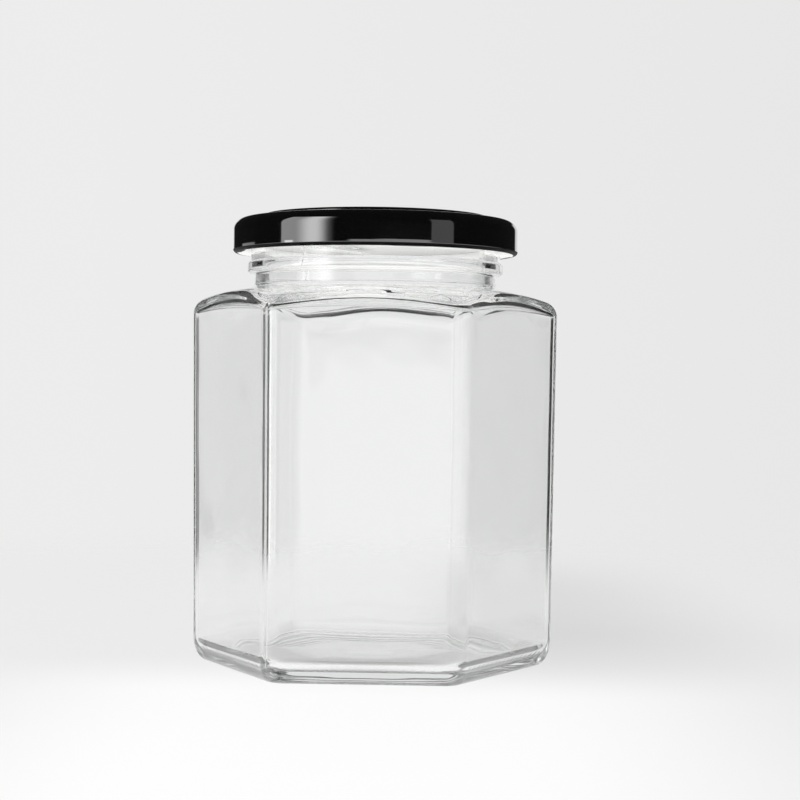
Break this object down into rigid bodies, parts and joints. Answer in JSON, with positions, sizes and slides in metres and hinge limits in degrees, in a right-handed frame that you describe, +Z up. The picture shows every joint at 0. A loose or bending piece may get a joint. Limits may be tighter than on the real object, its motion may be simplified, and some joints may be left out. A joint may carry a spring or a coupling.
{
  "type": "jar",
  "caption": "Clear glass food jar with a hexagonal body, rounded corners, a short round neck and a black metal twist-off lid, standing closed and empty.",
  "frame": {"origin": "centre of the face that the jar stands on", "axes": "+Z up the jar's axis, towards the lid; two opposite corners of the body lie on the X axis and a flat panel faces -Y"},
  "size_m": [0.0856, 0.075, 0.1046],
  "materials": {
    "clear_glass": "clear, fire-polished",
    "black_lacquer": "gloss black lacquer"
  },
  "bodies": {
    "root": {"jar": "clear_glass", "lid": "black_lacquer"}
  },
  "joints": []
}
